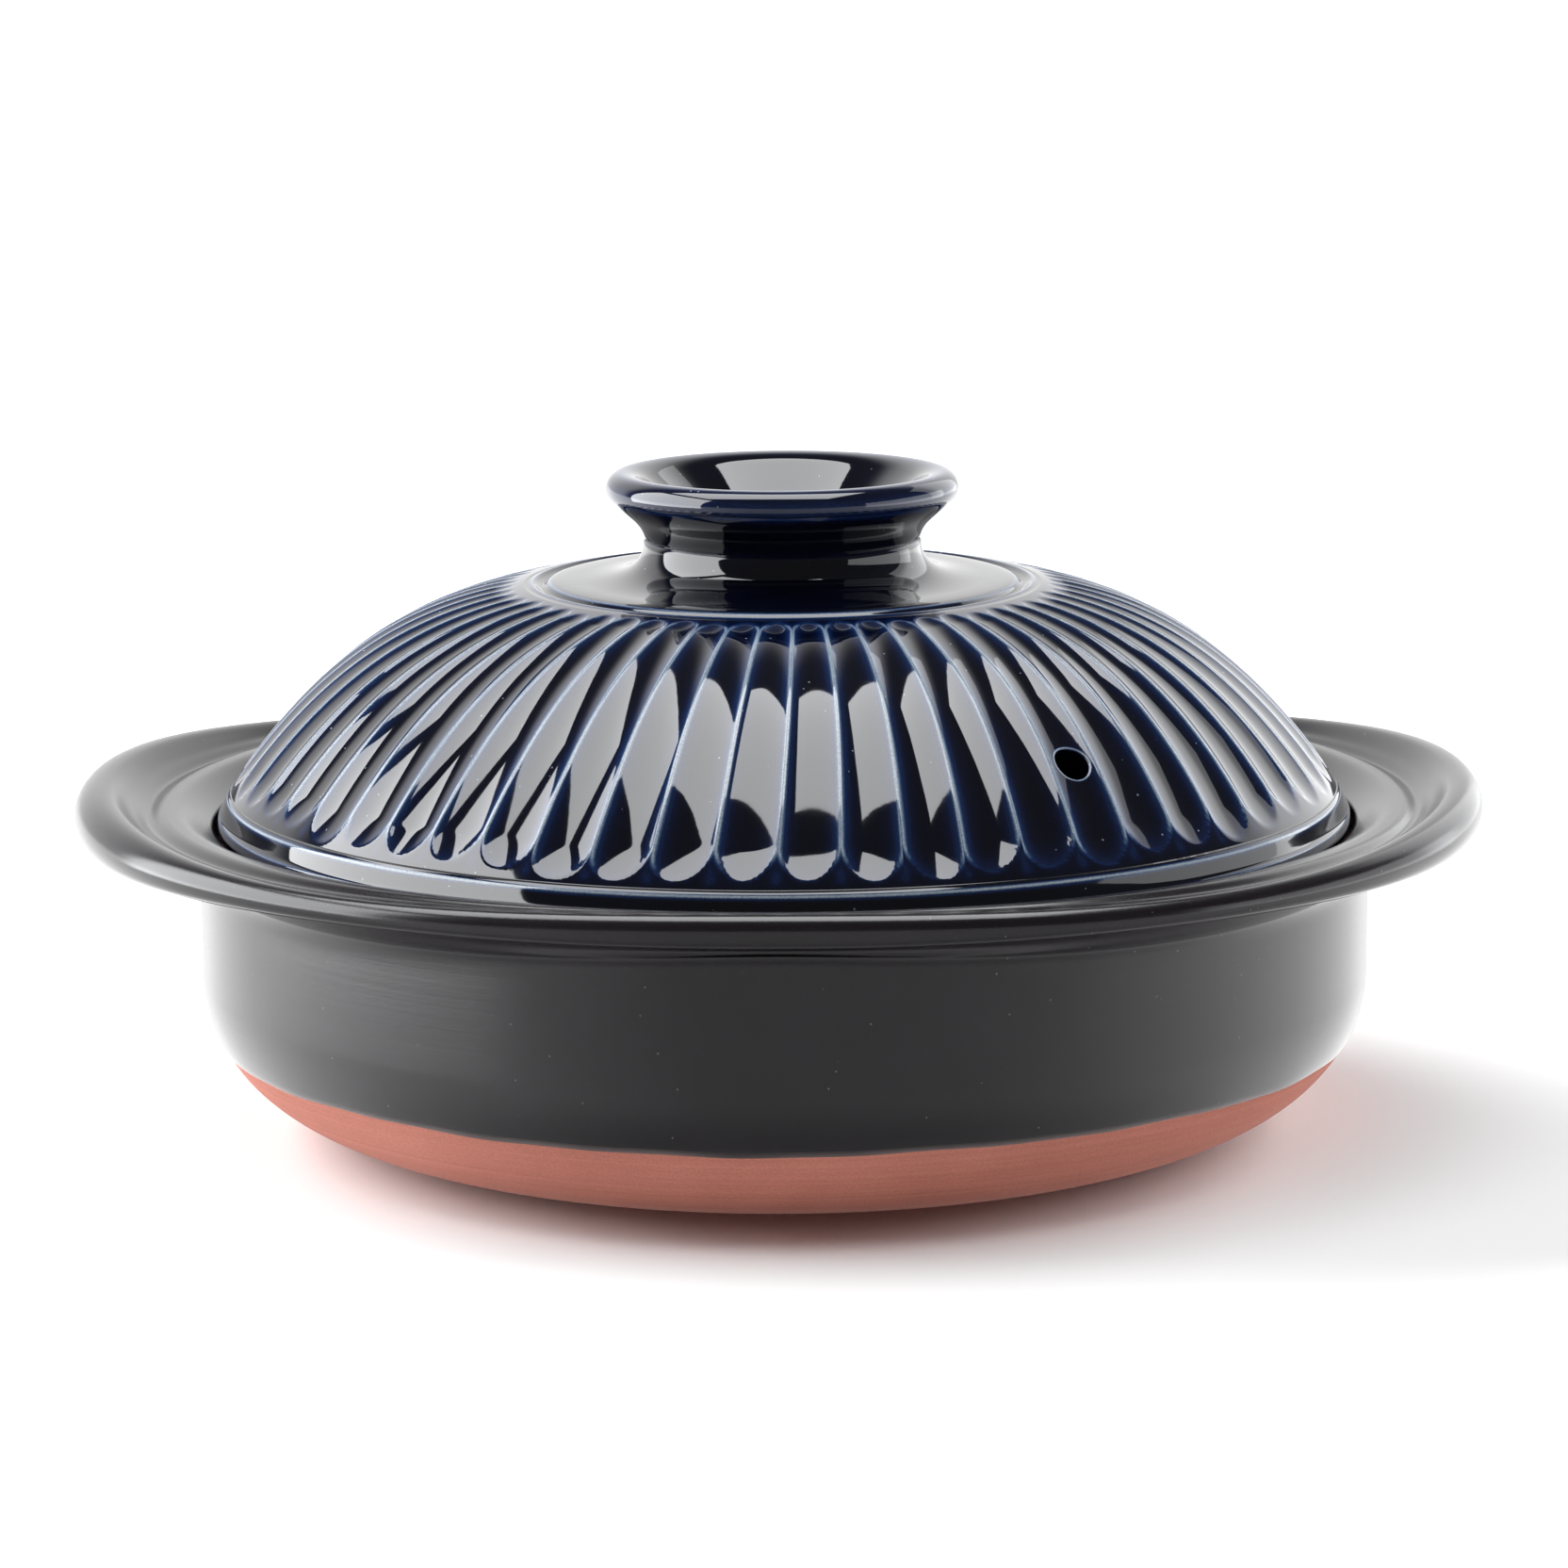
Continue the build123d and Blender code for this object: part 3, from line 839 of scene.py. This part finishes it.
def lid_dome(glaze, clay):
    """Lid up to its neck: fluted dome, double ring, crest lines, bare seat and the steam vent."""
    skin = Skin()
    parts = np.array(flute_columns)
    turns = (np.arange(flute_count)[:, None] + parts[None, :]).ravel() * flute_pitch - pi / 2
    flare = neck_flare_radius - neck_radius
    neck = bezier(
        (
            (neck_radius, neck_top),
            (neck_radius, neck_top - neck_height * neck_flare_share),
            (neck_flare_radius - flare * neck_flare_share, plateau_height),
            (neck_flare_radius, plateau_height),
        ),
        14,
    )
    double_ring = rounded(
        [
            (neck_flare_radius, plateau_height, 0),
            (plateau_radius - 0.9, plateau_height - 0.25, 0.5),
            (plateau_radius + 0.5, ring_height + 0.35, 0.5),
            (plateau_radius + 1.6, ring_height - 0.75, 0.7),
            (ring_radius - 1.9, ring_height - 0.65, 0.8),
            (ring_radius - 0.5, ring_height + 0.28, 0.5),
            (ring_radius + 0.9, ring_height - 0.30, 0.4),
        ],
        4,
    )
    ring_edges = [
        (neck_radius, neck_top, 0.5, 0.12),
        (plateau_radius + 0.3, ring_height + 0.35, 0.50, 0.70),
        (ring_radius - 0.4, ring_height + 0.28, 0.50, 0.80),
    ]
    upper = joined(neck, double_ring)
    upper_thin = glow(upper, ring_edges)
    leant = turns + flute_twist
    loops = [skin.add([[0, 0, neck_top]]), skin.ring(neck_radius - 1.0, neck_top, leant)]
    for (radius, height), value in zip(upper, upper_thin):
        loops.append(skin.ring(radius, height, leant, value))

    lengths = np.concatenate(
        [
            np.linspace(1.2, flute_top - 1.0, 3),
            np.linspace(flute_top - 0.5, flute_top + 8, 15),
            np.linspace(flute_top + 9.5, flute_foot - 12, 34),
            np.linspace(flute_foot - 11, flute_foot + 1.2, 24),
            np.linspace(flute_foot + 1.7, dome_lengths[-1] - 1.0, 3),
        ]
    )
    first_dome_loop = len(loops)
    for length in lengths:
        points, thin = dome_surface(np.full_like(turns, length), turns + lean(length))
        loops.append(skin.add(points, thin))
    dome_end = [np.interp(dome_lengths[-1] - 0.9, dome_lengths, table) for table in dome_points.T]
    crest = rounded(
        [
            (*dome_end, 0),
            (crest_radius + 0.2, crest_height + 0.1, 0.6),
            (crest_radius + 0.6, crest_height - 1.2, 0),
            (second_crest[0] - 0.9, second_crest[1] + 1.7, 0),
            (second_crest[0] - 0.5, second_crest[1] + 0.7, 0.5),
            (second_crest[0] + 0.2, second_crest[1] + 0.1, 0.4),
            (lid_radius, lid_widest_height, 0.5),
            (seat_radius + 0.4, seat_height + 0.6, 1.2),
            (seat_radius - 0.6, seat_height, 0),
        ],
        5,
    )
    crest_edges = [
        (crest_radius + 0.1, crest_height - 0.1, 0.48, 1.10),
        (second_crest[0] + 0.1, second_crest[1] + 0.1, 0.38, 0.62),
    ]
    crest_thin = glow(crest, crest_edges)
    for (radius, height), value in zip(crest, crest_thin):
        loops.append(skin.ring(radius, height, turns, value))
    bare_from = len(loops) - 2
    loops.append(skin.ring(seat_inner_radius + 1.0, seat_height, turns))

    vent_rows, vent_columns = vent_block(lengths, turns + lean(vent_place()))
    open_rows = range(first_dome_loop + vent_rows[0], first_dome_loop + vent_rows[-1])
    skin.net(loops, open_rows, set(vent_columns[:-1]), bare_from)

    few = flute_count * 4
    inner_turns = np.linspace(0, 2 * pi, few, endpoint=False) - pi / 2
    inside = [
        (seat_inner_radius, seat_height + 0.8),
        (seat_inner_radius, seat_height + lid_skirt_depth - 1),
    ]
    inner_lengths = np.linspace(dome_lengths[-1], 0, 26)
    for length in inner_lengths:
        place = [np.interp(length, dome_lengths, table) for table in (*dome_points.T, *dome_normals.T)]
        inside.append((place[0] - place[2] * lid_wall, place[1] - place[3] * lid_wall))
    inner_loops = [skin.ring(radius, height, inner_turns) for radius, height in inside]
    inner_loops.append(skin.ring(20, inside[-1][1], inner_turns))
    inner_loops.append(skin.add([[0, 0, inside[-1][1]]]))
    outer_places, inner_places = ((angles + pi / 2) / (2 * pi) for angles in (turns, inner_turns))
    skin.bridge(loops[-1], outer_places, inner_loops[0], inner_places, 1)
    inner_block = vent_block(inner_lengths, inner_turns, 1.0)
    inner_rows, inner_columns = inner_block
    skin.net(inner_loops, range(2 + inner_rows[0], 2 + inner_rows[-1]), set(inner_columns[:-1]))

    outer_border = block_border(loops, first_dome_loop, vent_rows, vent_columns)
    inner_border = block_border(inner_loops, 2, *inner_block)
    add_vent(skin, outer_border, inner_border)
    return skin.build("lid_dome", [glaze, clay])


def vent_place():
    """Length along the dome of the vent's middle."""
    return np.interp(vent_place_radius, dome_points[:, 0], dome_lengths)


def vent_block(lengths, turns, spare=0.4):
    """Rows and columns of the grid that the vent's patch takes the place of."""
    size = vent_radius + vent_lip + spare
    middle = vent_place()
    inside = np.where(np.abs(lengths - middle) < size)[0]
    rows = list(range(inside[0] - 1, inside[-1] + 2))
    shift = (turns - vent_turn + pi) % (2 * pi) - pi
    inside = np.where(np.abs(shift * vent_place_radius) < size)[0]
    columns = list(range(inside[0] - 1, inside[-1] + 2))
    return rows, columns


def block_border(loops, first, rows, columns):
    """Numbers of the points round a block of the grid, once round."""
    grid = [[loops[first + row][column] for column in columns] for row in rows]
    top = grid[0]
    right = [line[-1] for line in grid[1:]]
    bottom = grid[-1][-2::-1]
    left = [line[0] for line in grid[-2:0:-1]]
    return [*top, *right, *bottom, *left]


def add_vent(skin, outer_border, inner_border):
    """Vent through the lid, with a soft edge outside."""
    middle = vent_place()
    base = np.array([np.interp(middle, dome_lengths, table) for table in (*dome_points.T, *dome_normals.T)])
    radial = np.array([cos(vent_turn), sin(vent_turn), 0])
    sideways = np.array([-sin(vent_turn), cos(vent_turn), 0])
    upright = np.array([0, 0, 1])
    centre = radial * base[0] + upright * base[1]
    normal = radial * base[2] + upright * base[3]
    downhill = radial * base[3] - upright * base[2]

    def flat(numbers):
        spots = np.array([skin.points[number] for number in numbers]) - centre
        return spots @ sideways, spots @ downhill

    across, along = flat(outer_border)
    angles = np.arctan2(along, across)
    mouth = vent_radius + vent_lip
    loop = np.array(outer_border)
    ring_count = 7
    for step in range(1, ring_count + 1):
        share = step / ring_count
        x = across * (1 - share) + mouth * np.cos(angles) * share
        y = along * (1 - share) + mouth * np.sin(angles) * share
        points, thin = dome_surface(middle + y, vent_turn + x / vent_place_radius)
        edge = np.exp(-(((np.hypot(x, y) - mouth) / vent_edge_width) ** 2))
        other = skin.add(points, np.maximum(thin, vent_edge_share * edge))
        skin.strip(loop, other)
        loop = other
    for step in range(1, 5):
        angle = pi / 2 * step / 4
        radius = vent_radius + vent_lip * (1 - sin(angle))
        x, y = radius * np.cos(angles), radius * np.sin(angles)
        points, thin = dome_surface(middle + y, vent_turn + x / vent_place_radius)
        points = points - normal * vent_lip * (1 - cos(angle))
        other = skin.add(points, vent_edge_share * (1 - step / 4))
        skin.strip(loop, other)
        loop = other
    start = np.array([skin.points[number] for number in loop])
    for depth in (0.25, 0.6, 1.0):
        x, y = vent_radius * np.cos(angles), vent_radius * np.sin(angles)
        floor = centre + np.outer(x, sideways) + np.outer(y, downhill) - normal * lid_wall
        other = skin.add(start * (1 - depth) + floor * depth)
        skin.strip(loop, other)
        loop = other
    across, along = flat(inner_border)
    inner_angles = np.arctan2(along, across)
    outer_order = np.argsort(angles)
    inner_order = np.argsort(inner_angles)
    skin.bridge(
        loop[outer_order],
        (angles[outer_order] + pi) / (2 * pi),
        np.array(inner_border)[inner_order],
        (inner_angles[inner_order] + pi) / (2 * pi),
    )


def lid_knob(glaze):
    """Ring-shaped grip with a rounded bead over a hollow cup."""
    bead_height = knob_top - knob_bead
    under = bezier(((neck_radius, neck_top), *knob_under_poles, knob_crease), 16)
    start = atan2(knob_crease[1] - bead_height, knob_crease[0] - knob_bead_radius)
    bead = []
    for step in range(1, 21):
        angle = start + (pi / 2 - start) * step / 20
        bead.append((knob_bead_radius + knob_bead * cos(angle), bead_height + knob_bead * sin(angle)))
    cup_floor = knob_top - knob_cup_depth
    cup = []
    for step in range(1, 13):
        angle = knob_slope * step / 12
        radius = knob_bead_radius - knob_mouth_rounding * sin(angle)
        cup.append((radius, knob_top - knob_mouth_rounding * (1 - cos(angle))))
    slope_top = cup[-1]
    fall = tan(knob_slope)
    slope_foot = (knob_slope_foot, slope_top[1] - (slope_top[0] - knob_slope_foot) * fall)
    reach = (slope_foot[1] - cup_floor) * 0.8 / fall
    hollow = bezier(
        (
            slope_foot,
            (knob_slope_foot - reach, slope_foot[1] - reach * fall),
            (knob_cup_radius, cup_floor),
            (2.0, cup_floor),
        ),
        20,
    )
    cup = joined(cup, np.linspace(slope_top, slope_foot, 8), hollow, [(0, cup_floor)])
    base = [(0, neck_top + 0.1), (neck_radius - 0.6, neck_top + 0.1)]
    path = joined(base, under, bead, cup)
    path[-1, 0] = 0
    edges = [
        (neck_radius, neck_top, 0.5, 0.12),
        (*knob_crease, 0.9, 0.30),
        (knob_bead_radius + knob_bead, bead_height, 2.6, 0.26),
        (knob_bead_radius, knob_top, 2.4, 0.34),
    ]
    return turned_piece("lid_knob_ring", path, glow(path, edges), knob_columns, glaze)


def softbox(name, centre, target, width, height, radiance):
    """Rectangular studio light that faces the target and shows in reflections only."""
    light = bpy.data.lights.new(name, "AREA")
    light.shape = "RECTANGLE"
    light.size = width
    light.size_y = height
    light.energy = radiance * width * height * pi
    light.color = softbox_colour
    lamp = bpy.data.objects.new(name, light)
    direction = Vector(target) - Vector(centre)
    lamp.matrix_world = Matrix.Translation(centre) @ direction.to_track_quat("-Z", "Y").to_matrix().to_4x4()
    lamp.visible_camera = False
    lamp.visible_diffuse = False
    bpy.context.scene.collection.objects.link(lamp)


def far_light(name, towards, spread, strength):
    """Soft light from far off, this many degrees wide, that doesn't show in reflections."""
    light = bpy.data.lights.new(name, "SUN")
    light.angle = radians(spread)
    light.energy = strength
    lamp = bpy.data.objects.new(name, light)
    lamp.matrix_world = Vector(towards).to_track_quat("Z", "Y").to_matrix().to_4x4()
    lamp.visible_glossy = False
    bpy.context.scene.collection.objects.link(lamp)


def floor():
    """Plain floor of the studio."""
    half = 20.0
    mesh = bpy.data.meshes.new("floor")
    corners = [(-half, -half, 0), (half, -half, 0), (half, half, 0), (-half, half, 0)]
    mesh.from_pydata(corners, [], [(0, 1, 2, 3)])
    mesh.materials.append(floor_look())
    made = bpy.data.objects.new("floor", mesh)
    bpy.context.scene.collection.objects.link(made)

    # Reflections see the surroundings in the floor's place, so that they can be darker in front.
    made.visible_glossy = False


def surroundings():
    """Dim light from all round, and what the glazes mirror where they meet no softbox."""
    world = bpy.data.worlds.new("studio")
    world.use_nodes = True
    tree = world.node_tree
    place = tree.nodes.new("ShaderNodeTexCoord")
    parts = tree.nodes.new("ShaderNodeSeparateXYZ")
    tree.links.new(place.outputs["Generated"], parts.inputs[0])

    def ramp(socket, low, high, start, end):
        made = tree.nodes.new("ShaderNodeMapRange")
        made.interpolation_type = "SMOOTHSTEP"
        tree.links.new(socket, made.inputs["Value"])
        for key, value in zip(("From Min", "From Max", "To Min", "To Max"), (low, high, start, end)):
            made.inputs[key].default_value = value
        return made.outputs["Result"]

    def sum_of(operation, first, second):
        made = tree.nodes.new("ShaderNodeMath")
        made.operation = operation
        tree.links.new(first, made.inputs[0])
        tree.links.new(second, made.inputs[1])
        return made.outputs[0]

    # Above the horizon it is dark, but for a pale band low down behind the pot.
    behind = ramp(parts.outputs["Y"], 0.40, 0.66, 0.0, 1.0)
    low = ramp(parts.outputs["Z"], 0.42, 0.85, 1.0, 0.0)
    above = ramp(sum_of("MULTIPLY", behind, low), 0.0, 1.0, 0.10, 1.4)

    # Below the horizon it stands in for the floor, which is darker in front and close to the pot.
    front_to_back = ramp(parts.outputs["Y"], -1.0, 0.6, 0.72, 2.2)
    leftwards = ramp(parts.outputs["X"], -0.9, -0.2, 0.35, 0.0)
    far_off = ramp(parts.outputs["Y"], 0.88, 1.0, 1.0, 0.6)
    steep = ramp(parts.outputs["Z"], -0.85, -0.3, 0.4, 1.0)
    below = sum_of("MULTIPLY", sum_of("ADD", front_to_back, leftwards), sum_of("MULTIPLY", far_off, steep))

    # Only mirrored rays see all this. Others see one dim tone.
    horizon = ramp(parts.outputs["Z"], -0.04, 0.02, 0.0, 1.0)
    mirrored = tree.nodes.new("ShaderNodeMix")
    tree.links.new(horizon, mirrored.inputs[0])
    tree.links.new(below, mirrored.inputs[2])
    tree.links.new(above, mirrored.inputs[3])
    rays = tree.nodes.new("ShaderNodeLightPath")
    choice = tree.nodes.new("ShaderNodeMix")
    tree.links.new(rays.outputs["Is Glossy Ray"], choice.inputs[0])
    choice.inputs[2].default_value = surroundings_strength
    tree.links.new(mirrored.outputs[0], choice.inputs[3])
    background = tree.nodes["Background"]
    tree.links.new(choice.outputs[0], background.inputs["Strength"])
    background.inputs["Color"].default_value = (1.0, 1.0, 1.0, 1.0)
    bpy.context.scene.world = world


def camera():
    """Camera at the photograph's place."""
    target = Vector(camera_target)
    azimuth, elevation, roll = (radians(angle) for angle in camera_angles)
    back = Vector((sin(azimuth) * cos(elevation), -cos(azimuth) * cos(elevation), sin(elevation)))
    lens = bpy.data.cameras.new("camera")
    lens.sensor_width = sensor_width
    lens.lens = sensor_width * focal_pixels / photo_pixels
    lens.clip_end = 100.0
    made = bpy.data.objects.new("camera", lens)
    turn = (-back).to_track_quat("-Z", "Y").to_matrix().to_4x4() @ Matrix.Rotation(roll, 4, "Z")
    made.matrix_world = Matrix.Translation(target + back * camera_distance) @ turn
    bpy.context.scene.collection.objects.link(made)
    bpy.context.scene.camera = made


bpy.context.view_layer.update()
blue, black, clay = blue_glaze(), black_glaze(), bare_clay()
work = [
    (clay_body(clay), "pot", CLAY, ["pot_body"]),
    (glaze_outside(black), "pot", BLACK, ["pot_glaze", "handle_left", "handle_right"]),
    (glaze_inside(black), "pot", BLACK, ["pot_glaze_inside"]),
    (lid_dome(blue, clay), "lid", BLUE, ["lid_shell"]),
    (lid_knob(blue), "lid", BLUE, ["lid_knob"]),
]
for piece, body, finish, nodes in work:
    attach(piece, body)
    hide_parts(*nodes)

floor()
for softbox_values in softboxes:
    softbox(*softbox_values)
for far_light_values in far_lights:
    far_light(*far_light_values)
surroundings()
bpy.context.scene.view_settings.view_transform = "Standard"
camera()
